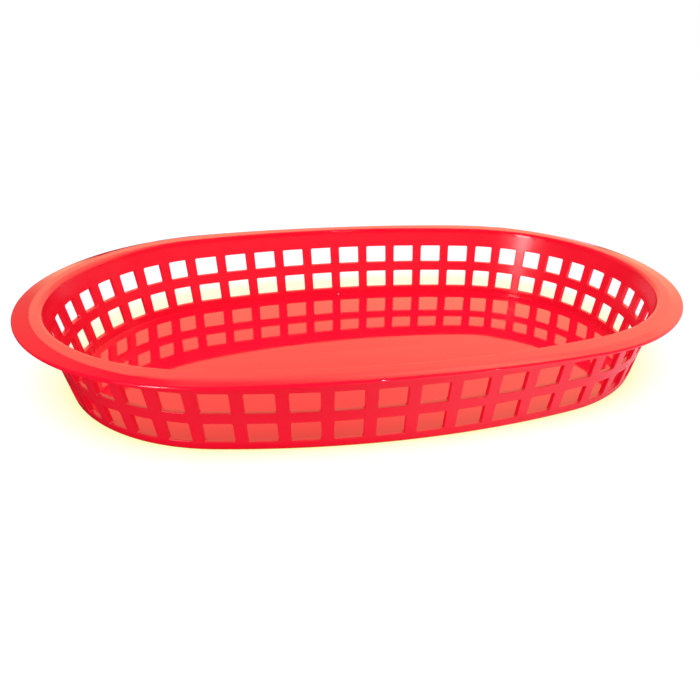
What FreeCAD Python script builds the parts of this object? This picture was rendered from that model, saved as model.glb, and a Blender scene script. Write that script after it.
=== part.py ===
import FreeCAD, Part
import math
import os
import Sketcher

# A serving basket for fast food, moulded in one piece: a flat floor, a drafted
# wall with two rows of windows, and a flat rim that widens into a handle at
# each end. X runs along the basket, Y across it and Z up. The origin is under
# the middle of the floor, in the plane that the basket rests on. Lengths are
# in millimetres and angles in degrees.

# The driving sizes: each can be changed by itself.
SIZES = [
    ("foot_length", 238.4, "outside length of the wall where it meets the table"),
    ("foot_width", 145.0, "outside width of the wall where it meets the table"),
    ("side_bow", 5.7, "how far a long side stands out past the end arcs"),
    ("height", 33.0, "from the table to the top of the rim"),
    ("wall_draft", 10.6, "lean of the wall from upright, so that baskets nest"),
    ("wall_thickness", 2.0, "wall, measured level"),
    ("floor_thickness", 1.6, "flat floor"),
    ("foot_radius", 2.0, "rounding outside, where the wall turns into the floor"),
    ("floor_bevel", 0.8, "bevel inside, where the floor turns into the wall"),
    ("band_end", 2.3, "flat band of the rim, past the wall at the two ends"),
    ("band_side", 5.8, "flat band of the rim, past the wall on the long sides"),
    ("handle_reach", 5.9, "sloping handle, past the band at the two ends"),
    ("lip_reach", 0.8, "sloping lip, past the band on the long sides"),
    ("rim_bow", 3.8, "how far the rim's long sides stand out past its end arcs"),
    ("rim_drop", 1.0, "fall of the handle and the lip, from band to edge"),
    ("rim_thickness", 1.6, "rim, measured upright"),
    ("mouth_bevel", 0.5, "bevel where the inner wall turns into the rim"),
    ("side_columns", 10, "columns of windows along each long side"),
    ("end_columns", 14, "columns of windows round each end"),
    ("side_overrun", 4.4, "how far a side's columns run on round the end arcs"),
    ("rib_width", 4.3, "upright rib between two windows"),
    ("foot_band", 4.0, "solid wall under the lower windows"),
    ("row_gap", 4.3, "solid wall between the two rows"),
    ("head_band", 8.6, "solid wall and rim over the upper windows"),
]

doc = FreeCAD.newDocument("fast_food_basket")
sheet = doc.addObject("Spreadsheet::Sheet", "Sizes")
row = 0


def write_cell(alias, content, meaning):
    """Adds one named row to the sheet."""
    global row
    row += 1
    sheet.set(f"A{row}", meaning)
    sheet.set(f"B{row}", content)
    sheet.setAlias(f"B{row}", alias)


def work_out(alias, formula, meaning=""):
    """Adds a size that follows from the others."""
    write_cell(alias, "=" + formula, meaning)


def work_out_oval(name, half_length, half_width, bow):
    """Adds the sizes of an oval: four arcs that run smoothly into each other."""
    work_out(f"{name}_half_length", half_length, "half the length of this oval")
    work_out(f"{name}_half_width", half_width, "half its width")
    work_out(f"{name}_end_radius", f"{name}_half_width - {bow}", "radius of its end arcs")
    work_out(f"{name}_end_centre", f"{name}_half_length - {name}_end_radius", "their centres, along X")
    work_out(
        f"{name}_side_centre",
        f"({name}_end_centre ^ 2 - {bow} ^ 2) / (2 * {bow})",
        "centres of its side arcs, along Y",
    )
    work_out(
        f"{name}_side_radius",
        f"{name}_half_width + {name}_side_centre",
        "radius of its side arcs",
    )
    work_out(
        f"{name}_side_angle",
        f"atan({name}_end_centre / {name}_side_centre) / 1 deg",
        "half the angle that a side arc spans",
    )


for size_alias, value, size_meaning in SIZES:
    write_cell(size_alias, str(value), size_meaning)

# The ovals. The wall's own ovals share their arc centres, so the wall leans
# by the same draft all round. The rim's ovals are shallower bowed.
work_out("lean", "height * tan(wall_draft)", "how far the wall leans out, foot to mouth")
work_out("floor_lean", "floor_thickness * tan(wall_draft)", "the same, foot to floor")
work_out_oval("foot", "foot_length / 2", "foot_width / 2", "side_bow")
work_out_oval("mouth", "foot_half_length + lean", "foot_half_width + lean", "side_bow")
work_out_oval(
    "inner_foot",
    "foot_half_length + floor_lean - wall_thickness",
    "foot_half_width + floor_lean - wall_thickness",
    "side_bow",
)
work_out_oval(
    "inner_mouth",
    "mouth_half_length - wall_thickness",
    "mouth_half_width - wall_thickness",
    "side_bow",
)
work_out_oval("band", "mouth_half_length + band_end", "mouth_half_width + band_side", "rim_bow")
work_out_oval("edge", "band_half_length + handle_reach", "band_half_width + lip_reach", "rim_bow")
work_out("band_under_level", "height - rim_thickness", "underside of the band")
work_out("edge_level", "height - rim_drop", "top of the rim's outer edge")
work_out("edge_under_level", "edge_level - rim_thickness", "underside of the rim's outer edge")

# The windows. Two rows fill the wall between the solid bands, and the columns
# share out the wall's length at half height, ten to a side and fourteen to an end.
work_out("window_height", "(height - foot_band - row_gap - head_band) / 2", "each window")
work_out("upper_row", "foot_band + window_height + row_gap", "foot of the upper windows")
work_out("middle_lean", "(foot_band + window_height + row_gap / 2) * tan(wall_draft) - wall_thickness / 2")
work_out_oval("middle", "foot_half_length + middle_lean", "foot_half_width + middle_lean", "side_bow")
work_out("side_run", "middle_side_radius * middle_side_angle * pi / 180 + side_overrun", "half a side")
work_out("end_run", "middle_end_radius * (90 - middle_side_angle) * pi / 180 - side_overrun", "half an end")
work_out("side_pitch", "side_run * 2 / side_columns", "from one column to the next")
work_out("end_pitch", "end_run * 2 / end_columns", "from one column to the next")
work_out("side_step", "side_pitch / middle_side_radius * 180 / pi", "the same, as an angle")
work_out("end_step", "end_pitch / middle_end_radius * 180 / pi", "the same, as an angle")
work_out("side_window", "side_pitch - rib_width", "width of a window in a side")
work_out("end_window", "end_pitch - rib_width", "width of a window in an end")
work_out("cut_depth", "lean + 2 * wall_thickness", "depth of a cut that passes the wall")
doc.recompute()

body = doc.addObject("PartDesign::Body", "Basket")
body.Label = "basket"
planes = {feature.Role: feature for feature in body.Origin.OriginFeatures}
UP = FreeCAD.Vector(0, 0, 1)
QUARTER = math.pi / 2


def size(alias):
    """The present value of a named size."""
    return float(sheet.get(alias))


def add_sketch(name, plane):
    """An empty sketch on one of the body's own planes."""
    sketch = body.newObject("Sketcher::SketchObject", name)
    sketch.AttachmentSupport = [(planes[plane], "")]
    sketch.MapMode = "FlatFace"
    return sketch


def add_dimension(sketch, label, constraint, formula):
    """A named dimension that a formula of the sheet's sizes drives."""
    index = sketch.addConstraint(constraint)
    sketch.renameConstraint(index, label)
    sketch.setExpression(f"Constraints.{label}", formula)


def add_arc(sketch, x, y, radius, first, last):
    """An arc of a circle, from one angle round to another."""
    circle = Part.Circle(FreeCAD.Vector(x, y, 0), UP, radius)
    return sketch.addGeometry(Part.ArcOfCircle(circle, first, last), False)


def add_oval(name, oval, level):
    """A level sketch of an oval: its right, far, left and near arcs."""
    radius = size(f"{oval}_end_radius")
    centre = size(f"{oval}_end_centre")
    side_radius = size(f"{oval}_side_radius")
    side_centre = size(f"{oval}_side_centre")
    half = math.radians(size(f"{oval}_side_angle"))
    sketch = add_sketch(name, "XY_Plane")
    sketch.setExpression("AttachmentOffset.Base.z", level)
    add_arc(sketch, centre, 0, radius, half - QUARTER, QUARTER - half)
    add_arc(sketch, 0, -side_centre, side_radius, QUARTER - half, QUARTER + half)
    add_arc(sketch, -centre, 0, radius, QUARTER + half, 3 * QUARTER - half)
    add_arc(sketch, 0, side_centre, side_radius, 3 * QUARTER - half, 3 * QUARTER + half)
    for arc in range(4):
        sketch.addConstraint(Sketcher.Constraint("Tangent", arc, 2, (arc + 1) % 4, 1))
    sketch.addConstraint(Sketcher.Constraint("PointOnObject", 0, 3, -1))
    sketch.addConstraint(Sketcher.Constraint("PointOnObject", 1, 3, -2))
    sketch.addConstraint(Sketcher.Constraint("PointOnObject", 2, 3, -1))
    sketch.addConstraint(Sketcher.Constraint("Equal", 0, 2))
    sketch.addConstraint(Sketcher.Constraint("Equal", 1, 3))
    end_radius = Sketcher.Constraint("Radius", 0, radius)
    end_centre = Sketcher.Constraint("DistanceX", -1, 1, 0, 3, centre)
    long_radius = Sketcher.Constraint("Radius", 1, side_radius)
    add_dimension(sketch, "EndRadius", end_radius, f"Sizes.{oval}_end_radius")
    add_dimension(sketch, "EndCentre", end_centre, f"Sizes.{oval}_end_centre")
    add_dimension(sketch, "SideRadius", long_radius, f"Sizes.{oval}_side_radius")
    return sketch


def add_loft(kind, name, lower, upper):
    """Ruled faces between two level ovals, added to the body or cut from it."""
    loft = body.newObject(f"PartDesign::{kind}Loft", name)
    loft.Profile = lower
    loft.Sections = [upper]
    loft.Ruled = True
    doc.recompute()
    return loft


# The rim is one plate of even thickness: a flat band, then the sloping handles
# at the ends, which fade into a narrow lip along the sides.
edge_top = add_oval("EdgeTop", "edge", "Sizes.edge_level")
band_top = add_oval("BandTop", "band", "Sizes.height")
add_loft("Additive", "RimSlope", edge_top, band_top)

rim_plate = body.newObject("PartDesign::Pad", "RimPlate")
rim_plate.Profile = edge_top
rim_plate.Reversed = True
rim_plate.setExpression("Length", "Sizes.rim_thickness")
doc.recompute()

edge_under = add_oval("EdgeUnder", "edge", "Sizes.edge_under_level")
band_under = add_oval("BandUnder", "band", "Sizes.band_under_level")
add_loft("Subtractive", "RimUnderside", edge_under, band_under)

# The bowl is a drafted wall on a flat floor, hollowed from the top.
foot = add_oval("Foot", "foot", "0")
mouth = add_oval("Mouth", "mouth", "Sizes.height")
add_loft("Additive", "Bowl", foot, mouth)

inner_foot = add_oval("InnerFoot", "inner_foot", "Sizes.floor_thickness")
inner_mouth = add_oval("InnerMouth", "inner_mouth", "Sizes.height")
add_loft("Subtractive", "Hollow", inner_foot, inner_mouth)

# The foot is rounded, and the two edges inside are bevelled. Each edge is found
# by the level that it lies in, and the mouth's by lying inside the wall's middle.
CLOSE = 0.01


def lies_level(edge, alias):
    """True for an edge that lies all at one named level."""
    level = size(alias)
    box = edge.BoundBox
    return abs(box.ZMin - level) < CLOSE and abs(box.ZMax - level) < CLOSE


def is_foot_edge(edge):
    box = edge.BoundBox
    return abs(box.ZMin) < CLOSE and abs(box.ZMax) < CLOSE


def is_floor_edge(edge):
    return lies_level(edge, "floor_thickness")


def is_mouth_edge(edge):
    box = edge.BoundBox
    along = max(-box.XMin, box.XMax) < size("inner_mouth_half_length") + CLOSE
    across = max(-box.YMin, box.YMax) < size("inner_mouth_half_width") + CLOSE
    return lies_level(edge, "height") and along and across


def dress_edges(kind, name, dimension, alias, wanted):
    """Rounds or bevels the edges that a test picks, by a named size."""
    base = body.Tip
    picked = [f"Edge{i}" for i, edge in enumerate(base.Shape.Edges, start=1) if wanted(edge)]
    dressed = body.newObject(f"PartDesign::{kind}", name)
    dressed.Base = (base, picked)
    dressed.setExpression(dimension, f"Sizes.{alias}")
    doc.recompute()


dress_edges("Fillet", "FootRounding", "Radius", "foot_radius", is_foot_edge)
dress_edges("Chamfer", "FloorBevel", "Size", "floor_bevel", is_floor_edge)
dress_edges("Chamfer", "MouthBevel", "Size", "mouth_bevel", is_mouth_edge)


def add_window(sketch, label, width, foot_level):
    """An upright rectangle, centred over the sketch's origin."""
    half = size(width) / 2
    low = size(foot_level)
    tall = size("window_height")
    corners = [(half, low), (half, low + tall), (-half, low + tall), (-half, low)]
    points = [FreeCAD.Vector(x, y, 0) for x, y in corners]
    lines = []
    for corner in range(4):
        line = Part.LineSegment(points[corner], points[(corner + 1) % 4])
        lines.append(sketch.addGeometry(line, False))
    for corner in range(4):
        after = lines[(corner + 1) % 4]
        sketch.addConstraint(Sketcher.Constraint("Coincident", lines[corner], 2, after, 1))
    right, top, left, bottom = lines
    sketch.addConstraint(Sketcher.Constraint("Vertical", right))
    sketch.addConstraint(Sketcher.Constraint("Vertical", left))
    sketch.addConstraint(Sketcher.Constraint("Horizontal", top))
    sketch.addConstraint(Sketcher.Constraint("Horizontal", bottom))
    wide = Sketcher.Constraint("DistanceX", left, 1, right, 1, 2 * half)
    aside = Sketcher.Constraint("DistanceX", -1, 1, right, 1, half)
    high = Sketcher.Constraint("DistanceY", right, 1, right, 2, tall)
    up = Sketcher.Constraint("DistanceY", -1, 1, right, 1, low)
    add_dimension(sketch, f"{label}Width", wide, f"Sizes.{width}")
    add_dimension(sketch, f"{label}Middle", aside, f"Sizes.{width} / 2")
    add_dimension(sketch, f"{label}Height", high, "Sizes.window_height")
    add_dimension(sketch, f"{label}Foot", up, f"Sizes.{foot_level}")


def add_windows(name, kind, plane, axis, arc_side, looks_out):
    """The windows along one arc of the wall: a column, turned about its centre.

    The arc's centre lies on the axis, on the side that arc_side gives. The
    column's sketch stands upright and square to the wall, just outside it.
    """
    centre = add_sketch(f"{name}Centre", "XY_Plane")
    centre.addGeometry(Part.Point(FreeCAD.Vector(0, 0, 0)), True)
    centre.addConstraint(Sketcher.Constraint("Coincident", 0, 1, -1, 1))
    place = f"Sizes.middle_{kind}_centre * {arc_side}"
    centre.setExpression(f"AttachmentOffset.Base.{axis}", place)

    # The first column stands half the columns' spread to one side. The plane
    # through the origin looks along +X or -Y, and the far and left walls need
    # it turned round.
    turned = 0 if looks_out else 180
    angle = f"({turned} - Sizes.{kind}_step * (Sizes.{kind}_columns - 1) / 2)"
    ahead = place if plane == "YZ_Plane" else f"-{place}"
    column = add_sketch(f"{name}Column", plane)
    upright = FreeCAD.Rotation(FreeCAD.Vector(0, 1, 0), turned + 1)
    column.AttachmentOffset = FreeCAD.Placement(FreeCAD.Vector(0, 0, 0), upright)
    column.setExpression("AttachmentOffset.Rotation.Angle", angle)
    column.setExpression("AttachmentOffset.Base.x", f"Sizes.mouth_{kind}_radius * sin({angle})")
    column.setExpression("AttachmentOffset.Base.z", f"Sizes.mouth_{kind}_radius * cos({angle}) + {ahead}")
    doc.recompute()
    add_window(column, "Lower", f"{kind}_window", "foot_band")
    add_window(column, "Upper", f"{kind}_window", "upper_row")

    cut = body.newObject("PartDesign::Pocket", f"{name}Cut")
    cut.Profile = column
    cut.setExpression("Length", "Sizes.cut_depth")
    doc.recompute()
    windows = body.newObject("PartDesign::PolarPattern", f"{name}Windows")
    windows.Originals = [cut]
    windows.Axis = (centre, ["N_Axis"])
    windows.setExpression("Angle", f"Sizes.{kind}_step * (Sizes.{kind}_columns - 1)")
    windows.setExpression("Occurrences", f"Sizes.{kind}_columns")
    body.Tip = windows
    doc.recompute()


add_windows("Near", "side", "XZ_Plane", "y", 1, True)
add_windows("Far", "side", "XZ_Plane", "y", -1, False)
add_windows("Right", "end", "YZ_Plane", "x", 1, True)
add_windows("Left", "end", "YZ_Plane", "x", -1, False)

for item in doc.Objects:
    if "Invalid" in item.State or "Error" in item.State:
        raise RuntimeError(f"{item.Name} failed: {item.State}")
shape = body.Shape
if shape.isNull() or not shape.isValid() or len(shape.Solids) != 1:
    raise RuntimeError("basket has no sound solid")
os.makedirs("parts", exist_ok=True)
shape.exportStep("parts/basket.step")
print("basket", round(shape.Volume, 1), "cubic millimetres")
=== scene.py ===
# %% [markdown]
# # A fast food basket, dressed in Blender
#
# Diners serve a burger and fries in a shallow oval basket of red plastic. It is
# moulded in one shot: a flat floor, a leaning wall with two rows of windows, and
# a flat rim that widens into a handle at each end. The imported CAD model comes
# first and is never moved, because it says how large the basket is and where it
# stands. Everything below is worked out in millimetres and turned to metres
# when the mesh is made.

import bmesh
import bpy
import numpy as np
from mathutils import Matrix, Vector


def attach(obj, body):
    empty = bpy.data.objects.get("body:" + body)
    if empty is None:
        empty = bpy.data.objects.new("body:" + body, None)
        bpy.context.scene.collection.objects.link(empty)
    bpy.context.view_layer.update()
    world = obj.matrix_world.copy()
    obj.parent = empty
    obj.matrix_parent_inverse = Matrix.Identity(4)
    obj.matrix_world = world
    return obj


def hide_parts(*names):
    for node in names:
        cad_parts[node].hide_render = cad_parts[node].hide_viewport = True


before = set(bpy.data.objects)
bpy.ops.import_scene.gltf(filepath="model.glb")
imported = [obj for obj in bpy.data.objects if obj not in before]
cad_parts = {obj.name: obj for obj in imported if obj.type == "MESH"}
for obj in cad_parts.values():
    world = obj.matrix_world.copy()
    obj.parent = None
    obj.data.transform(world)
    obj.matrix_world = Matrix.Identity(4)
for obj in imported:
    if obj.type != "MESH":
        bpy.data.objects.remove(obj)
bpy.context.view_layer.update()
MM = 0.001

# %% [markdown]
# ## The sizes
#
# These are the same named sizes that the CAD source is driven by, so the new
# mesh lies on the solid's own faces. The small radii are what the moulding adds:
# no edge of a moulded part is truly sharp, and it is the rounded edges that
# catch the light.

# %% Sizes that the CAD part has too
FOOT_HALF = (119.2, 72.5)
WALL_BOW, RIM_BOW = 5.7, 3.8
HEIGHT = 33.0
LEAN = np.tan(np.radians(10.6))
WALL, FLOOR, RIM = 2.0, 1.6, 1.6
BAND_END, BAND_SIDE = 2.3, 5.8
SLOPE_END, SLOPE_SIDE, RIM_DROP = 5.9, 0.8, 1.0
RIB = 4.3
FOOT_BAND, ROW_GAP, HEAD_BAND = 4.0, 4.3, 8.6
SIDE_COLUMNS, END_COLUMNS, SIDE_OVERRUN = 10, 14, 4.4
window_height = (HEIGHT - FOOT_BAND - ROW_GAP - HEAD_BAND) / 2
upper_row = FOOT_BAND + window_height + ROW_GAP
ROW_LEVELS = ((FOOT_BAND, FOOT_BAND + window_height), (upper_row, upper_row + window_height))
print("windows:", 4 * (SIDE_COLUMNS + END_COLUMNS), "of height", round(window_height, 2), "mm")

# %% Sizes of the moulded edges
# The corners of a window, and the edge of its opening.
CORNER, LIP = 0.6, 0.25
# From a rounding to the next points on the flat face beside it.
GUARD = 0.1
FOOT_ROUND, FLOOR_ROUND, HEAD_ROUND = 2.0, 0.15, 0.8
MOUTH_END, MOUTH_SIDE = 1.8, 1.0
CREASE_END, CREASE_SIDE, EDGE_ROUND, UNDER_ROUND = 0.8, 13.0, 0.8, 0.25
# How far the crease lies further in than the solid's, at the ends and then along
# the sides, how thick the rim's edge is, and how far it hangs along the sides.
CREASE_PULL, CROWN_PULL, EDGE_THICK, DROP_SIDE = 0.3, 1.9, 1.2, 0.9
print("radii, mm: foot", FOOT_ROUND, "mouth", MOUTH_END, "to", MOUTH_SIDE, "window corner", CORNER)

# %% [markdown]
# ## Ovals
#
# Seen from above, every outline of the basket is an oval of four arcs that run
# smoothly into each other: two tight ones at the ends and two nearly straight
# ones along the sides. An ellipse would be easier to write down, but it is
# pointed at the ends, and the real basket has round ends and long flat sides.


# %% The four arcs of an oval
def oval(half_length, half_width, bow):
    """The end radius is the half width less the bow, the end centre is the half
    length less that radius, and the side arc's centre lies where both arcs
    share one tangent: (end centre squared - bow squared) / twice the bow."""
    end_radius = half_width - bow
    end_centre = half_length - end_radius
    side_centre = (end_centre**2 - bow**2) / (2 * bow)
    return end_centre, end_radius, side_centre, half_width + side_centre


def wall_oval(level, inset=0.0):
    """The wall's outline at a level: the foot's oval, grown by the level times
    the lean, less an inset from the outer face."""
    grown = level * LEAN - inset
    return oval(FOOT_HALF[0] + grown, FOOT_HALF[1] + grown, WALL_BOW)


band_half = (
    FOOT_HALF[0] + HEIGHT * LEAN + BAND_END,
    FOOT_HALF[1] + HEIGHT * LEAN + BAND_SIDE,
)
MESH_GAP = 0.05
edge_half = (band_half[0] + SLOPE_END - MESH_GAP, band_half[1] + SLOPE_SIDE - MESH_GAP)
EDGE_OVAL = oval(edge_half[0], edge_half[1], RIM_BOW)
CREASE_OVAL = oval(band_half[0] - CREASE_PULL, band_half[1], RIM_BOW)
print("rim, mm:", round(2 * (band_half[0] + SLOPE_END), 1), "by", round(2 * (band_half[1] + SLOPE_SIDE), 1))

# %% [markdown]
# ## Lines through the wall
#
# The windows are cut straight through the wall, square to it. So the whole
# basket is laid out on level lines that pass through the wall from inside to
# outside. Inside a window they run side by side, and over a rib they fan round
# to the next window's direction. Any outline is then found by walking along a
# line until the outline is met.


# %% Where a line meets an oval
def overshoot(x, y, arcs):
    """How far each point lies outside an oval, and which way is out: the
    distance to the side arc's centre less its radius between the two end
    centres as seen from there, and the same for the end arc elsewhere."""
    end_centre, end_radius, side_centre, side_radius = arcs
    along, across = np.abs(x), np.abs(y)
    beside = along * side_centre < end_centre * (across + side_centre)
    side = np.hypot(along, across + side_centre)
    end = np.hypot(along - end_centre, across)
    gap = np.where(beside, side - side_radius, end - end_radius)
    out_x = np.where(beside, along / side, (along - end_centre) / end) * np.sign(x)
    out_y = np.where(beside, (across + side_centre) / side, across / end) * np.sign(y)
    return gap, out_x, out_y


MEETING_STEPS = 6


def reach(lines, arcs):
    """How far along each line an oval is met. Each step goes on by the gap that
    is left, divided by how squarely the line points out."""
    x, y, angle = lines
    far = np.zeros(np.broadcast_shapes(x.shape, np.shape(arcs[1])))
    for _ in range(MEETING_STEPS):
        gap, out_x, out_y = overshoot(x + far * np.cos(angle), y + far * np.sin(angle), arcs)
        far = far - gap / (out_x * np.cos(angle) + out_y * np.sin(angle))
    return far


trial_lines = np.array([[0.1, 0.1], [0.1, 0.1], np.radians([0, 90])])
print("the foot's oval is met, mm:", np.round(reach(trial_lines, wall_oval(0.0)), 1).tolist())

# %% The columns of windows
middle_level = (ROW_LEVELS[0][1] + ROW_LEVELS[1][0]) / 2
end_centre, end_radius, side_centre, side_radius = wall_oval(middle_level, WALL / 2)
side_angle = np.arctan2(end_centre, side_centre)
side_pitch = 2 * (side_radius * side_angle + SIDE_OVERRUN) / SIDE_COLUMNS
end_pitch = 2 * (end_radius * (np.pi / 2 - side_angle) - SIDE_OVERRUN) / END_COLUMNS


def column_run(count, pitch, radius, centre, facing):
    """The columns along one arc, as place, angle and half pitch: the angles step
    by the pitch over the radius, either side of the way that the arc faces."""
    angle = np.radians(facing) + (np.arange(count) - (count - 1) / 2) * pitch / radius
    x = centre[0] + radius * np.cos(angle)
    y = centre[1] + radius * np.sin(angle)
    return np.stack([x, y, angle, np.full(count, pitch / 2)])


columns = np.concatenate(
    [
        column_run(SIDE_COLUMNS, side_pitch, side_radius, (0, side_centre), -90),
        column_run(END_COLUMNS, end_pitch, end_radius, (end_centre, 0), 0),
        column_run(SIDE_COLUMNS, side_pitch, side_radius, (0, -side_centre), 90),
        column_run(END_COLUMNS, end_pitch, end_radius, (-end_centre, 0), 180),
    ],
    axis=1,
)
column_x, column_y, column_angle, half_pitch = columns
half_window = half_pitch - RIB / 2
print("columns:", len(half_pitch), "windows wide:", np.unique(np.round(2 * half_window, 2)))


# %% The middle line of each rib
def beside_column(side):
    """The line down one edge of each window: the column's line, moved sideways
    by half the window's width."""
    x = column_x - side * half_window * np.sin(column_angle)
    y = column_y + side * half_window * np.cos(column_angle)
    return np.stack([x, y, column_angle])


next_left_edge = np.roll(beside_column(-1), -1, axis=1)
next_left_edge[2, -1] += 2 * np.pi
rib_after = (beside_column(1) + next_left_edge) / 2
rib_before = np.roll(rib_after, 1, axis=1)
rib_before[2, 0] -= 2 * np.pi
print("ribs:", rib_after.shape[1], "each", RIB, "mm wide")


def lines_at(column, aside):
    """The lines that pass a column's middle at a distance aside. Up to the
    window's edge a line only moves sideways. Beyond it, it is the edge's line
    blended evenly into the rib's middle line."""
    half = half_window[column]
    shift = np.clip(aside, -half, half)
    angle = column_angle[column]
    edge = [
        column_x[column] - shift * np.sin(angle),
        column_y[column] + shift * np.cos(angle),
        angle,
    ]
    share = np.clip((np.abs(aside) - half) / (RIB / 2), 0, 1)
    ribs = np.where(aside > 0, rib_after[:, column], rib_before[:, column])
    return [own + share * (rib - own) for own, rib in zip(edge, ribs)]


# %% [markdown]
# ## One window
#
# Each window and the bit of wall round it is a patch. Its faces lie in rings:
# from the patch's straight border, in to the rounded corners of the opening,
# over the lip, through the wall, and out again on the other face. Cutting the
# openings with a Boolean would leave long thin faces that shade badly on a
# glossy wall, and the rings shade cleanly.

# %% Once round a window
ACROSS_STEPS, UP_STEPS, TURN_STEPS = 8, 8, 4


def once_round():
    """Goes anticlockwise round a window, seen from outside. Gives for each step
    a place on a square from -1 to 1 for the opening's straight parts, the same
    for the patch's border, and the way out of the opening there, which turns
    from -45 to 45 degrees along each side."""
    straight, border, outward = [], [], []
    for side, steps in enumerate((UP_STEPS, ACROSS_STEPS, UP_STEPS, ACROSS_STEPS)):
        step = np.arange(steps)
        turn = TURN_STEPS / 2
        along = np.interp(step, [turn, steps - turn], [-1, 1])
        bend = np.interp(step, [0, turn, steps - turn, steps], [-45, 0, 0, 45])
        facing = np.pi / 2 * side
        ahead = np.array([np.cos(facing), np.sin(facing)])[:, None]
        aside = np.array([-np.sin(facing), np.cos(facing)])[:, None]
        straight.append(ahead + aside * along)
        border.append(ahead + aside * (2 * step / steps - 1))
        outward.append(np.stack([np.cos(facing + np.radians(bend)), np.sin(facing + np.radians(bend))]))
    return [np.round(np.concatenate(part, axis=1), 12) for part in (straight, border, outward)]


straight, border, outward = once_round()
print("steps round a window:", straight.shape[1])

# %% The rings from the inner face to the outer face
LIP_STEPS, BORDER_SHARES = 3, [0, 0.4, 1]
lip_turn = np.linspace(0, np.pi / 2, LIP_STEPS + 1)
lip_growth = LIP * (1 - np.sin(lip_turn))
lip_depth = LIP * (1 - np.cos(lip_turn))
outer_rings = np.concatenate(
    [
        np.stack([lip_growth[::-1], lip_depth[::-1], 0 * lip_turn]),
        [[LIP + GUARD] * len(BORDER_SHARES), [0] * len(BORDER_SHARES), BORDER_SHARES],
    ],
    axis=1,
)
inner_rings = outer_rings[:, ::-1].copy()
inner_rings[1] = WALL - inner_rings[1]
RING_GROWTH, RING_DEPTH, RING_SHARE = np.concatenate([inner_rings, outer_rings], axis=1)
print("rings round a window:", len(RING_GROWTH))

# %% All the windows at once
# The patches reach a little below the lower row and above the upper one.
PATCH_LOW, PATCH_HIGH = 3.2, 25.4
PATCH_LEVELS = np.array([PATCH_LOW, middle_level, PATCH_HIGH])


def window_patches():
    """Points of every patch, as patch, ring, step, coordinate. A point is the
    opening's outline grown by the ring's growth, blended towards the border by
    the ring's share, and set into the wall by the ring's depth."""
    column = np.arange(len(half_pitch))[:, None, None, None]
    low, high = np.array(ROW_LEVELS).T[:, None, :, None, None]
    floor, roof = PATCH_LEVELS[:-1, None, None], PATCH_LEVELS[1:, None, None]
    growth, depth, share = (ring[:, None] for ring in (RING_GROWTH, RING_DEPTH, RING_SHARE))
    aside = straight[0] * (half_window[column] - CORNER) + outward[0] * (CORNER + growth)
    level = (low + high) / 2 + straight[1] * ((high - low) / 2 - CORNER) + outward[1] * (CORNER + growth)
    aside = aside + share * (border[0] * half_pitch[column] - aside)
    level = level + share * ((floor + roof) / 2 + border[1] * (roof - floor) / 2 - level)
    aside, level, depth = np.broadcast_arrays(aside, level, depth)
    lines = lines_at(np.broadcast_to(column, aside.shape), aside)
    outer = reach(lines, wall_oval(level))
    inner = reach(lines, wall_oval(level, WALL))
    far = outer + (inner - outer) * depth / WALL
    x, y, angle = lines
    points = np.stack([x + far * np.cos(angle), y + far * np.sin(angle), level], axis=-1)
    return points.reshape(-1, *points.shape[2:])


patches = window_patches()
print("window patches:", patches.shape)

# %% [markdown]
# ## Floor, rim and foot
#
# The rest of the basket is a section carried once round: it runs out over the
# floor and up to the windows, from the windows over the rim and back, and down
# round the foot to the middle of the underside. The section changes on the way
# round, because the rim is a wide handle at the ends and a narrow lip along the
# sides. It is drawn as a few corners, each rounded by its own radius.

# %% The stations
station_column = np.repeat(np.arange(len(half_pitch)), ACROSS_STEPS)
station_place = np.tile(2 * np.arange(ACROSS_STEPS) / ACROSS_STEPS - 1, len(half_pitch))
stations = lines_at(station_column, station_place * half_pitch[station_column])
print("stations round the basket:", len(station_place))


def corner_at(arcs, level):
    """A section's corner at every station: how far out it lies, and its level."""
    far = reach(stations, arcs)
    return np.stack([far, np.broadcast_to(level, far.shape)], axis=-1)


# %% A section with rounded corners
def rounded(corners, radii, steps):
    """Rounds the corners of a section. At each corner the two legs make an
    angle, the arc starts at radius / tan(half angle) along each leg, its centre
    lies at radius / sin(half angle) between them, and its points turn evenly
    from one end to the other. A guard point a little further out on each leg
    keeps the flat faces shading flat."""
    run = [corners[0]]
    for before, corner, after, radius, count in zip(corners, corners[1:], corners[2:], radii, steps):
        legs = [before - corner, after - corner]
        legs = [leg / np.linalg.norm(leg, axis=-1, keepdims=True) for leg in legs]
        half = np.arccos(np.clip((legs[0] * legs[1]).sum(-1, keepdims=True), -1, 1)) / 2
        between = legs[0] + legs[1]
        between = between / np.linalg.norm(between, axis=-1, keepdims=True)
        start = radius / np.tan(half)
        centre = corner + between * radius / np.sin(half)
        first, last = (corner + leg * start - centre for leg in legs)
        turn = np.pi - 2 * half
        run.append(corner + legs[0] * (start + GUARD))
        for share in np.linspace(0, 1, count + 1):
            swept = np.sin((1 - share) * turn) * first + np.sin(share * turn) * last
            run.append(centre + swept / np.sin(turn))
        run.append(corner + legs[1] * (start + GUARD))
    run.append(corners[-1])
    return np.stack(run)


def carried(section):
    """Carries a section round: each of its points goes out along its station's
    line by its own reach, at its own level."""
    x, y, angle = stations
    far, level = section[..., 0], section[..., 1]
    return np.stack([x + far * np.cos(angle), y + far * np.sin(angle), level], axis=-1)


trial_corners = [np.array([place]) for place in ([0.0, 2.0], [0.0, 0.0], [2.0, 0.0])]
print("a corner rounded by 1 mm:", np.round(rounded(trial_corners, [1.0], [2])[:, 0], 2).tolist())


# %% How the rim changes from the ends to the sides
def eased(value, low, high):
    """Goes from 0 at the low value to 1 at the high one: share squared times
    (3 - 2 shares), which starts and ends flat."""
    share = np.clip((value - low) / (high - low), 0, 1)
    return share**2 * (3 - 2 * share)


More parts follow.
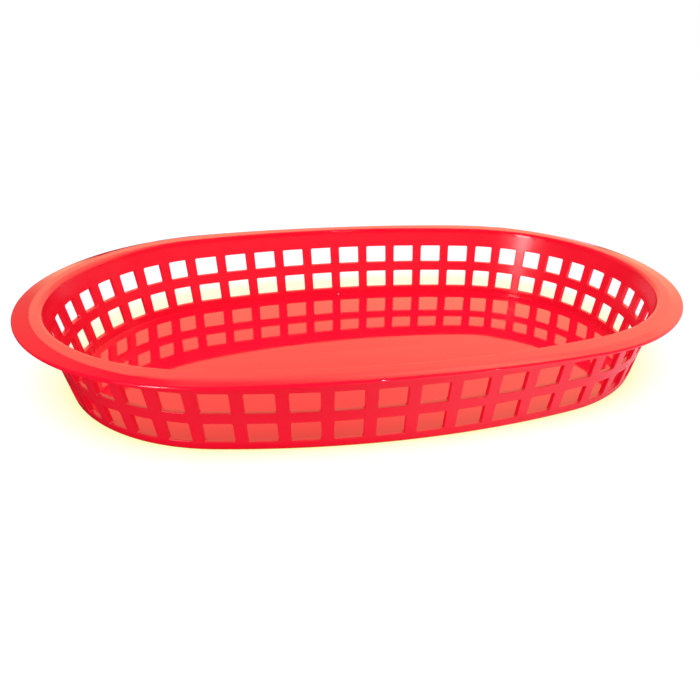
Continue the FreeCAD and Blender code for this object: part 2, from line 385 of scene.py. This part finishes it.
# The end's shape holds until the wall faces 62 degrees round to the side, and
# the side's shape is whole from 80 degrees on. These are their sines.
SIDE_STARTS, SIDE_WHOLE = 0.88, 0.985
sideways = eased(np.abs(np.sin(stations[2])), SIDE_STARTS, SIDE_WHOLE)
crease_round = (CREASE_END + sideways * (CREASE_SIDE - CREASE_END))[:, None]
edge_level = HEIGHT - RIM_DROP + sideways * (RIM_DROP - DROP_SIDE)
mouth_round = (MOUTH_END + sideways * (MOUTH_SIDE - MOUTH_END))[:, None]
print("crease radius from", crease_round.min(), "to", crease_round.max(), "mm")

# %% Over the rim
# The rounding under the crease is this share of the one over it.
UNDER_SHARE = 0.8
# Faces over each of the six roundings.
RIM_STEPS = [5, 8, 7, 4, 6, 4]
under_band = HEIGHT - RIM
crease, under_crease = corner_at(CREASE_OVAL, HEIGHT), corner_at(CREASE_OVAL, under_band)
for corner in (crease, under_crease):
    corner[:, 0] -= CROWN_PULL * sideways
over_rim = carried(
    rounded(
        [
            corner_at(wall_oval(PATCH_HIGH, WALL), PATCH_HIGH),
            corner_at(wall_oval(HEIGHT, WALL), HEIGHT),
            crease,
            corner_at(EDGE_OVAL, edge_level),
            corner_at(EDGE_OVAL, edge_level - EDGE_THICK),
            under_crease,
            corner_at(wall_oval(under_band), under_band),
            corner_at(wall_oval(PATCH_HIGH), PATCH_HIGH),
        ],
        [mouth_round, crease_round, EDGE_ROUND, UNDER_ROUND, UNDER_SHARE * crease_round, HEAD_ROUND],
        RIM_STEPS,
    )
)
print("points over the rim:", over_rim.shape)

# %% [markdown]
# A large flat face of polypropylene never cools quite flat. The windows that it
# mirrors show how far it is out: the upper row is squashed, and the lower row
# hangs away from the wall. So the floor's upper face is one slow wave from the
# wall to the middle, a little over a millimetre from trough to crest. It is
# stronger towards the right end and tilts up that way. It brings the mirrored
# windows to where the photograph has them. A bump map would only bend the light,
# and would do nothing to the shape.

# %% The warped floor
FLOOR_MEAN, WAVE_HEIGHT, WAVE_RUN, WAVE_START = 1.35, 0.73, 74.5, 15.0
RIGHT_SHARE, TILT = 0.87, 0.52


def floor_level(x, y):
    """The floor's level in millimetres: the mean, less the wave's height times
    the cosine of the way in from the wall, which is half a turn for each run
    and starts a little outside the wall. The height grows with the share along
    to the right, and the whole floor tilts up that way too."""
    inwards = -overshoot(x, y, wall_oval(FLOOR, WALL))[0]
    along = x / FOOT_HALF[0]
    wave = np.cos(np.pi * (inwards + WAVE_START) / WAVE_RUN)
    return FLOOR_MEAN + TILT * along - WAVE_HEIGHT * (1 + RIGHT_SHARE * along) * wave


trial_x = np.array([-60.0, 0.0, 60.0])
print("floor at x of -60, 0 and 60, mm:", np.round(floor_level(trial_x, 0 * trial_x), 2).tolist())

# %% Up from the floor, and down round the foot
# These strips end this far in, where the discs of floor and underside begin.
FLAT, FLOOR_STEPS, FOOT_STEPS = 4.0, 3, 8
floor_edge = carried(corner_at(wall_oval(FLOOR, WALL), FLOOR))
edge_floor = floor_level(floor_edge[:, 0], floor_edge[:, 1])
print("floor's edge between", np.round([edge_floor.min(), edge_floor.max()], 2), "mm")
floor_corner = corner_at(wall_oval(edge_floor, WALL), edge_floor)
inner_floor = floor_corner - [FLAT, 0]
inner_place = carried(inner_floor)
inner_floor[:, 1] = floor_level(inner_place[:, 0], inner_place[:, 1])
foot_corner = corner_at(wall_oval(0.0), 0.0)
up_from_floor = carried(
    rounded(
        [inner_floor, floor_corner, corner_at(wall_oval(PATCH_LOW, WALL), PATCH_LOW)],
        [FLOOR_ROUND],
        [FLOOR_STEPS],
    )
)
down_round_foot = carried(
    rounded(
        [corner_at(wall_oval(PATCH_LOW), PATCH_LOW), foot_corner, foot_corner - [FLAT, 0]],
        [FOOT_ROUND],
        [FOOT_STEPS],
    )
)

# %% The floor and the underside
CLOSING_RINGS = 25
CLOSING = np.linspace(0, 1, CLOSING_RINGS)[:, None, None]


def closed_in(ring):
    """Fills a ring: the ring shrunk towards the middle by shares."""
    return ring * np.stack([CLOSING[..., 0]] * 2 + [np.ones(CLOSING.shape[:2])], axis=-1)


floor_disc = closed_in(up_from_floor[0])
floor_disc[..., 2] = floor_level(floor_disc[..., 0], floor_disc[..., 1])
under_disc = closed_in(down_round_foot[-1])[::-1]
print("floor between", np.round([floor_disc[..., 2].min(), floor_disc[..., 2].max()], 2), "mm")


# %% [markdown]
# ## One closed mesh
#
# All the sheets follow the same rule, so all their faces point outwards. They
# meet in points that they share, and merging those closes the shell. It is
# worth testing: a shell is closed when every edge has exactly two faces.


# %% Faces of a sheet of points
def sheet_faces(rows, around):
    """Four-sided faces between the rows of a sheet that closes on itself: up
    one row, then on by one point."""
    row = np.arange(rows - 1)[:, None] * around
    here = np.arange(around)[None, :]
    there = (here + 1) % around
    corners = [row + here, row + around + here, row + around + there, row + there]
    return np.stack(corners, axis=-1).reshape(-1, 4)


print("two rows of three points:", sheet_faces(2, 3).tolist())

# %% Sheets joined to a shell
# Points nearer to each other than this, in millimetres, become one.
MERGE_WITHIN = 0.002


def closed_mesh(name, sheets):
    """Joins sheets of points, each given as sheet, row, point, coordinate, and
    merges the points that they share."""
    points, faces, start = [], [], 0
    for sheet in sheets:
        count, rows, around, _ = sheet.shape
        one = sheet_faces(rows, around)
        offsets = start + np.arange(count)[:, None, None] * rows * around
        points.append(sheet.reshape(-1, 3))
        faces.append((one[None] + offsets).reshape(-1, 4))
        start += count * rows * around
    mesh = bpy.data.meshes.new(name)
    mesh.from_pydata(np.concatenate(points) * MM, [], np.concatenate(faces).tolist())
    shell = bmesh.new()
    shell.from_mesh(mesh)
    bmesh.ops.remove_doubles(shell, verts=shell.verts, dist=MERGE_WITHIN * MM)
    loose = sum(not edge.is_manifold for edge in shell.edges)
    print(name, "open edges:", loose, "volume, cubic mm:", round(shell.calc_volume(signed=True) / MM**3, 1))
    shell.to_mesh(mesh)
    shell.free()
    mesh.polygons.foreach_set("use_smooth", np.ones(len(mesh.polygons), bool))
    return mesh


# %% The basket
strips = [strip[None] for strip in (floor_disc, up_from_floor, over_rim, down_round_foot, under_disc)]
basket_mesh = closed_mesh("moulded_basket", [patches, *strips])
basket = bpy.data.objects.new("moulded_basket", basket_mesh)
bpy.context.scene.collection.objects.link(basket)
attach(basket, "root")
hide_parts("basket")
triangles = sum(len(face.vertices) - 2 for face in basket_mesh.polygons)
print("faces:", len(basket_mesh.polygons), "triangles:", triangles)

# %% [markdown]
# ## Moulded polypropylene
#
# These baskets are injection moulded from polypropylene, in a polished mould.
# The plastic is coloured right through and reflects like a varnish at a low
# angle. One flat red would look like paper. What makes it plastic is a gloss
# that differs a little from place to place, and faces that cooled not quite
# flat, which bends their reflections.


# %% Colours and nodes
def linear(code):
    """Turns an sRGB hex colour to linear values: a channel under 0.04045 is
    divided by 12.92, and any other is ((channel + 0.055) / 1.055) ^ 2.4."""
    channel = np.array([int(code[i : i + 2], 16) for i in (1, 3, 5)]) / 255
    value = np.where(channel <= 0.04045, channel / 12.92, ((channel + 0.055) / 1.055) ** 2.4)
    return (*value.tolist(), 1.0)


def add_node(tree, kind, inputs=(), **settings):
    """Adds one node, with its settings, and fills its inputs, each with a value
    or from another node's output."""
    node = tree.nodes.new(kind)
    for name, value in settings.items():
        setattr(node, name, value)
    for name, value in dict(inputs).items():
        if isinstance(value, bpy.types.NodeSocket):
            tree.links.new(value, node.inputs[name])
        else:
            node.inputs[name].default_value = value
    return node


print("the red as linear values:", np.round(linear("#fb1030"), 3).tolist())


def per_mm(size):
    """A texture's scale for features of this size in millimetres."""
    return 1 / (size * MM)


# %% The plastic
def polypropylene():
    """Glossy polypropylene from a polished mould, coloured right through. The
    eye gets one even, strong red, clear reflections at a low angle, and a slow
    waver in them where the part has warped."""
    material = bpy.data.materials.new("moulded_polypropylene_red")
    material.use_nodes = True
    tree = material.node_tree
    tree.nodes.clear()
    place = add_node(tree, "ShaderNodeTexCoord").outputs["Object"]
    # The melt flows 40 to 60 mm between places where the pigment thins out.
    flow = add_node(tree, "ShaderNodeTexNoise", {"Vector": place, "Scale": per_mm(50), "Detail": 2.0})
    colour = add_node(tree, "ShaderNodeMix", {"Factor": flow.outputs["Fac"]}, data_type="RGBA")
    colour.inputs[6].default_value = linear("#fb1030")
    colour.inputs[7].default_value = linear("#fe1435")
    # Handling leaves the gloss a little uneven, in patches about 12 mm wide.
    wear = add_node(tree, "ShaderNodeTexNoise", {"Vector": place, "Scale": per_mm(12), "Detail": 3.0})
    gloss = add_node(
        tree,
        "ShaderNodeMapRange",
        {"Value": wear.outputs["Fac"], "From Min": 0.3, "From Max": 0.7, "To Min": 0.04, "To Max": 0.065},
    )
    # The mould's walls are left satin, so that the part slips out. Only the
    # floor and the rim are polished: the satin starts 3 mm up and ends at 31 mm.
    level = add_node(tree, "ShaderNodeSeparateXYZ", {"Vector": place}).outputs["Z"]
    above = add_node(
        tree,
        "ShaderNodeMapRange",
        {"Value": level, "From Min": 2.6 * MM, "From Max": 3.4 * MM, "To Min": 0.0, "To Max": 0.15},
    )
    below = add_node(
        tree,
        "ShaderNodeMapRange",
        {"Value": level, "From Min": 30.8 * MM, "From Max": 31.2 * MM, "To Min": 1.0, "To Max": 0.0},
    )
    satin = add_node(
        tree,
        "ShaderNodeMath",
        {0: above.outputs["Result"], 1: below.outputs["Result"], 2: gloss.outputs["Result"]},
        operation="MULTIPLY_ADD",
    )
    # Cooling warps the faces in waves some 70 mm long and under 0.1 mm high.
    warp = add_node(tree, "ShaderNodeTexNoise", {"Vector": place, "Scale": per_mm(70), "Detail": 0.0})
    bent = add_node(
        tree,
        "ShaderNodeBump",
        {"Height": warp.outputs["Fac"], "Strength": 1.0, "Distance": 0.1 * MM},
    )
    shader = add_node(
        tree,
        "ShaderNodeBsdfPrincipled",
        {
            "Base Color": colour.outputs[2],
            "Roughness": satin.outputs["Value"],
            "IOR": 1.49,
            "Normal": bent.outputs["Normal"],
        },
    )
    add_node(tree, "ShaderNodeOutputMaterial", {"Surface": shader.outputs["BSDF"]})
    return material


basket_mesh.materials.append(polypropylene())
print("material:", basket_mesh.materials[0].name)

# %% [markdown]
# ## The studio
#
# A sheet of pale paper, a white room and soft lamps. The plastic takes its look
# from what it mirrors: a bright, warm wall behind the basket, and a dim room in
# front of it. One room could not give both that and an even red, so it is plain
# white as light, somewhat stronger from the front, and has its bright side in
# reflections only. A wide lamp helps from the front. The other lamps light
# nothing: they stand in reflections, as a streak and as two small glints.


# %% Directions in the room
def toward(azimuth, elevation):
    """A direction as x, y, z: azimuth in degrees from the basket's back to its
    right end, and elevation in degrees over the table."""
    across, over = np.radians(azimuth), np.radians(elevation)
    return (np.cos(over) * np.sin(across), np.cos(over) * np.cos(across), np.sin(over))


def fades(tree, direction, way, low, high, dark, bright):
    """A value that goes smoothly from dark to bright as a direction, or a place,
    gets further along a way: it is dark at low and bright at high."""
    along = add_node(tree, "ShaderNodeVectorMath", {0: direction, 1: way}, operation="DOT_PRODUCT")
    return add_node(
        tree,
        "ShaderNodeMapRange",
        {
            "Value": along.outputs["Value"],
            "From Min": low,
            "From Max": high,
            "To Min": dark,
            "To Max": bright,
        },
        interpolation_type="SMOOTHSTEP",
    ).outputs["Result"]


print("to the right end, level:", np.round(toward(90, 0), 3).tolist())

# %% Floor
PAPER_SIZE, PAPER_LEVEL = 3000, -0.1
# PAPER_MIRRORED is the paper's colour in reflections. Below, it is darkened towards the left as painted
# shade.
PAPER_GLOW, PAPER_LIT, PAPER, PAPER_MIRRORED = "#f8f486", "#616ff8", "#f6f4ef", "#f4f6ff"


def studio_floor(size, level):
    """A square sheet of pale paper under the basket, as one flat face. To the camera it glows a little less
    than white and the light on it makes up the rest, so a shadow turns it cream. In reflections it carries
    painted shade: its colour is scaled down towards the left, so it is darker there under any light."""
    half = size / 2
    mesh = bpy.data.meshes.new("studio_floor")
    corners = half * np.array([[-1, -1, 0], [1, -1, 0], [1, 1, 0], [-1, 1, 0]]) + [0, 0, level]
    mesh.from_pydata(corners * MM, [], [[0, 1, 2, 3]])
    floor = bpy.data.objects.new("studio_floor", mesh)
    bpy.context.scene.collection.objects.link(floor)
    material = bpy.data.materials.new("matt_white_paper")
    material.use_nodes = True
    tree = material.node_tree
    tree.nodes.clear()
    path = add_node(tree, "ShaderNodeLightPath").outputs
    glow = add_node(tree, "ShaderNodeEmission", {"Color": linear(PAPER_GLOW), "Strength": 1.0})
    lit = add_node(tree, "ShaderNodeBsdfDiffuse", {"Color": linear(PAPER_LIT)})
    shown = add_node(tree, "ShaderNodeAddShader", {0: glow.outputs["Emission"], 1: lit.outputs["BSDF"]})
    place = add_node(tree, "ShaderNodeTexCoord").outputs["Object"]
    # Painted shade: in reflections the paper's colour is scaled from 0.02 at 55 mm left of the middle up to
    # full at 65 mm right of it, so the left looks shaded whatever the light.
    left_painted_shade = fades(tree, place, (1.0, 0.0, 0.0), -55 * MM, 65 * MM, 0.02, 1.0)
    cool = linear(PAPER_MIRRORED)[:3]
    shaded_mirror_colour = add_node(tree, "ShaderNodeVectorMath", {0: cool, "Scale": left_painted_shade}, operation="SCALE")
    mirrored = add_node(tree, "ShaderNodeBsdfDiffuse", {"Color": shaded_mirror_colour.outputs["Vector"]})
    plain = add_node(tree, "ShaderNodeBsdfDiffuse", {"Color": linear(PAPER)})
    unseen = add_node(
        tree,
        "ShaderNodeMixShader",
        {"Fac": path["Is Glossy Ray"], 1: plain.outputs["BSDF"], 2: mirrored.outputs["BSDF"]},
    )
    both = add_node(
        tree,
        "ShaderNodeMixShader",
        {"Fac": path["Is Camera Ray"], 1: unseen.outputs["Shader"], 2: shown.outputs["Shader"]},
    )
    add_node(tree, "ShaderNodeOutputMaterial", {"Surface": both.outputs["Shader"]})
    mesh.materials.append(material)
    return floor


studio_floor(PAPER_SIZE, PAPER_LEVEL)
print("paper, mm:", PAPER_SIZE, "square, at", PAPER_LEVEL)

# %% Room
WARM_WALL = "#ffffc4"
FRONT_LIGHT, BACK_LIGHT = 0.93, 0.585
# Each pane of the room, for reflections: a way, how far along it the pane starts
# and is whole, and how bright the room is before and after. They multiply.
PANES = (
    # The room is dim under the table's edge.
    ((0.0, 0.0, 1.0), -0.05, 0.08, 0.1, 1.0),
    # The ceiling is dim, and on the left the dimness reaches further down.
    ((-0.3, 0.0, 1.0), 0.62, 0.95, 1.0, 0.15),
    # The front is dim, and so is the left.
    (toward(15, 0), -0.1, 0.35, 0.08, 1.0),
    (toward(72, 0), -0.05, 0.05, 0.32, 1.0),
    # The right is a little brighter, and more so high up.
    (toward(105, 0), -0.12, 0.12, 0.97, 1.06),
    ((0.5, 0.0, 1.0), 0.6, 0.8, 1.0, 1.32),
    # One bright pane is high up behind the right half.
    (toward(35, 62), 0.93, 0.985, 1.0, 1.8),
)


def studio_room():
    """A white room. As light it is white, and fades from the front to the back.
    In reflections its back is warm and bright from just over the table to half
    way up, and its ceiling and its front are dim."""
    world = bpy.data.worlds.new("studio_room")
    bpy.context.scene.world = world
    world.use_nodes = True
    tree = world.node_tree
    tree.nodes.clear()
    direction = add_node(tree, "ShaderNodeTexCoord").outputs["Generated"]
    bright = fades(tree, direction, *PANES[0])
    for pane in PANES[1:]:
        factors = {0: bright, 1: fades(tree, direction, *pane)}
        bright = add_node(tree, "ShaderNodeMath", factors, operation="MULTIPLY").outputs[0]
    tint = linear(WARM_WALL)[:3]
    warm = add_node(tree, "ShaderNodeVectorMath", {0: tint, "Scale": bright}, operation="SCALE")
    path = add_node(tree, "ShaderNodeLightPath").outputs
    plain = fades(tree, direction, (0.0, 1.0, 0.0), -0.7, 0.7, FRONT_LIGHT, BACK_LIGHT)
    light = add_node(
        tree,
        "ShaderNodeMix",
        {"Factor": path["Is Glossy Ray"], 6: plain, 7: warm.outputs["Vector"]},
        data_type="RGBA",
    )
    shown = add_node(
        tree, "ShaderNodeMix", {"Factor": path["Is Camera Ray"], 6: light.outputs[2]}, data_type="RGBA"
    )
    shown.inputs[7].default_value = (1.0, 1.0, 1.0, 1.0)
    room = add_node(tree, "ShaderNodeBackground", {"Color": shown.outputs[2], "Strength": 1.0})
    add_node(tree, "ShaderNodeOutputWorld", {"Surface": room.outputs["Background"]})


studio_room()
print("panes in the room:", len(PANES), "light from front and back:", FRONT_LIGHT, BACK_LIGHT)


# %% Lamps
def soft_lamp(name, place, aim, size, power):
    """A lamp with a soft rectangular cover, which turns its face from its place
    to its aim. All its measures are millimetres, and its power is in watts."""
    light = bpy.data.lights.new(name, "AREA")
    light.shape = "RECTANGLE"
    light.size, light.size_y = (side * MM for side in size)
    light.energy = power
    lamp = bpy.data.objects.new(name, light)
    bpy.context.scene.collection.objects.link(lamp)
    lamp.location = Vector(place) * MM
    lamp.rotation_euler = (Vector(place) - Vector(aim)).to_track_quat("Z", "Y").to_euler()
    return lamp


# The streak stands on the far wall near the right end, and the glints lie on the
# near rim, each given by the way to its lamp and its place along the rim.
STREAK_SPOT, STREAK_RISE = np.array([95, 55, 20]), np.array([0, 0, 360])
STREAK_AWAY, GLOW_BEHIND, FRONT_AWAY = 1100, 100, 2000
GLINTS, GLINT_ELEVATION = ((169.5, -11), (149.5, 21)), 21
streak_way, front_way = np.array(toward(-131, 0)), np.array(toward(-170, 66))
streak_place = STREAK_AWAY * streak_way + STREAK_SPOT + STREAK_RISE
glow_place = streak_place + GLOW_BEHIND * streak_way
side_lamps = [
    soft_lamp("tall_side_lamp", streak_place, STREAK_SPOT, size=(200, 720), power=4.6),
    soft_lamp("tall_side_glow", glow_place, STREAK_SPOT, size=(700, 600), power=1.2),
]
front_place = FRONT_AWAY * front_way
front_lamp = soft_lamp("wide_front_lamp", front_place, (0, 0, 10), size=(1200, 800), power=14.6)
front_lamp.visible_glossy = False
for azimuth, rim_x in GLINTS:
    rim_spot = np.array([rim_x, -85, 32])
    glint_place = FRONT_AWAY * np.array(toward(azimuth, GLINT_ELEVATION)) + rim_spot
    side_lamps.append(soft_lamp("narrow_lamp", glint_place, rim_spot, size=(30, 120), power=1.2))
for lamp in side_lamps:
    lamp.visible_diffuse = False
print("lamps in reflections only:", len(side_lamps), "front lamp, mm:", np.round(front_place).tolist())

# %% [markdown]
# ## The camera
#
# A camera match of the windows' corners gave the place and the turn of the
# lens. The picture's middle isn't the middle of the lens's own view, so the
# frame is shifted.

# %% Camera
YAW, PITCH, ROLL = 0.260, 0.556, 0.033
EYE = (-57.90, -258.83, 126.98)
FOCAL_PIXELS, CENTRE_PIXEL, FRAME_PIXELS = 661.93, (386.98, 426.27), (700, 675)
SENSOR = 36.0

ahead = np.array([np.sin(YAW) * np.cos(PITCH), np.cos(YAW) * np.cos(PITCH), -np.sin(PITCH)])
level_right = np.array([np.cos(YAW), -np.sin(YAW), 0.0])
level_up = np.cross(level_right, ahead)
right = np.cos(ROLL) * level_right + np.sin(ROLL) * level_up
up = np.cos(ROLL) * level_up - np.sin(ROLL) * level_right

lens = bpy.data.cameras.new("photo_camera")
lens.sensor_fit = "HORIZONTAL"
lens.sensor_width = SENSOR
lens.lens = FOCAL_PIXELS / FRAME_PIXELS[0] * SENSOR
lens.shift_x = (FRAME_PIXELS[0] / 2 - CENTRE_PIXEL[0]) / FRAME_PIXELS[0]
lens.shift_y = (CENTRE_PIXEL[1] - FRAME_PIXELS[1] / 2) / FRAME_PIXELS[0]
lens.clip_start, lens.clip_end = 0.01, 20.0
camera = bpy.data.objects.new("photo_camera", lens)
bpy.context.scene.collection.objects.link(camera)
turned = np.eye(4)
turned[:3, 0], turned[:3, 1], turned[:3, 2], turned[:3, 3] = right, up, -ahead, np.array(EYE) * MM
camera.matrix_world = turned.T.tolist()
bpy.context.scene.camera = camera
bpy.context.scene.view_settings.view_transform = "Standard"
print("lens, mm:", round(lens.lens, 2), "shift:", round(lens.shift_x, 4), round(lens.shift_y, 4))
